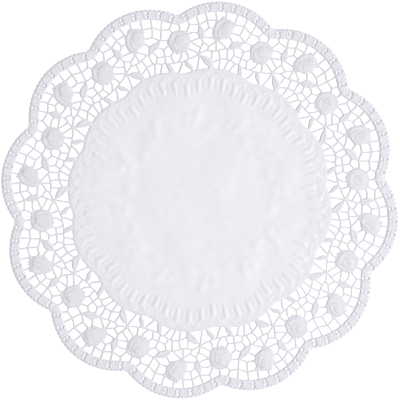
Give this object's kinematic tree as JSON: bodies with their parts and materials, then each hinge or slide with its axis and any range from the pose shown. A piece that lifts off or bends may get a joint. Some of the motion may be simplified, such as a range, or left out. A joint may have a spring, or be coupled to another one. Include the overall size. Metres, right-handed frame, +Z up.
{
  "type": "paper doily",
  "caption": "Round white paper doily: plain middle, embossed ring, die-cut rose lace and a scalloped perforated rim.",
  "frame": {"origin": "middle of the sheet on its underside, the face that lies on the plate or table", "axes": "+Z up, out of the embossed upper face; +Y from the middle to the tip of one lobe"},
  "size_m": [0.36, 0.36, 0.0001],
  "materials": {
    "paper": "matte, uncoated, embossed"
  },
  "bodies": {
    "root": {"doily_sheet": "paper"}
  },
  "joints": []
}
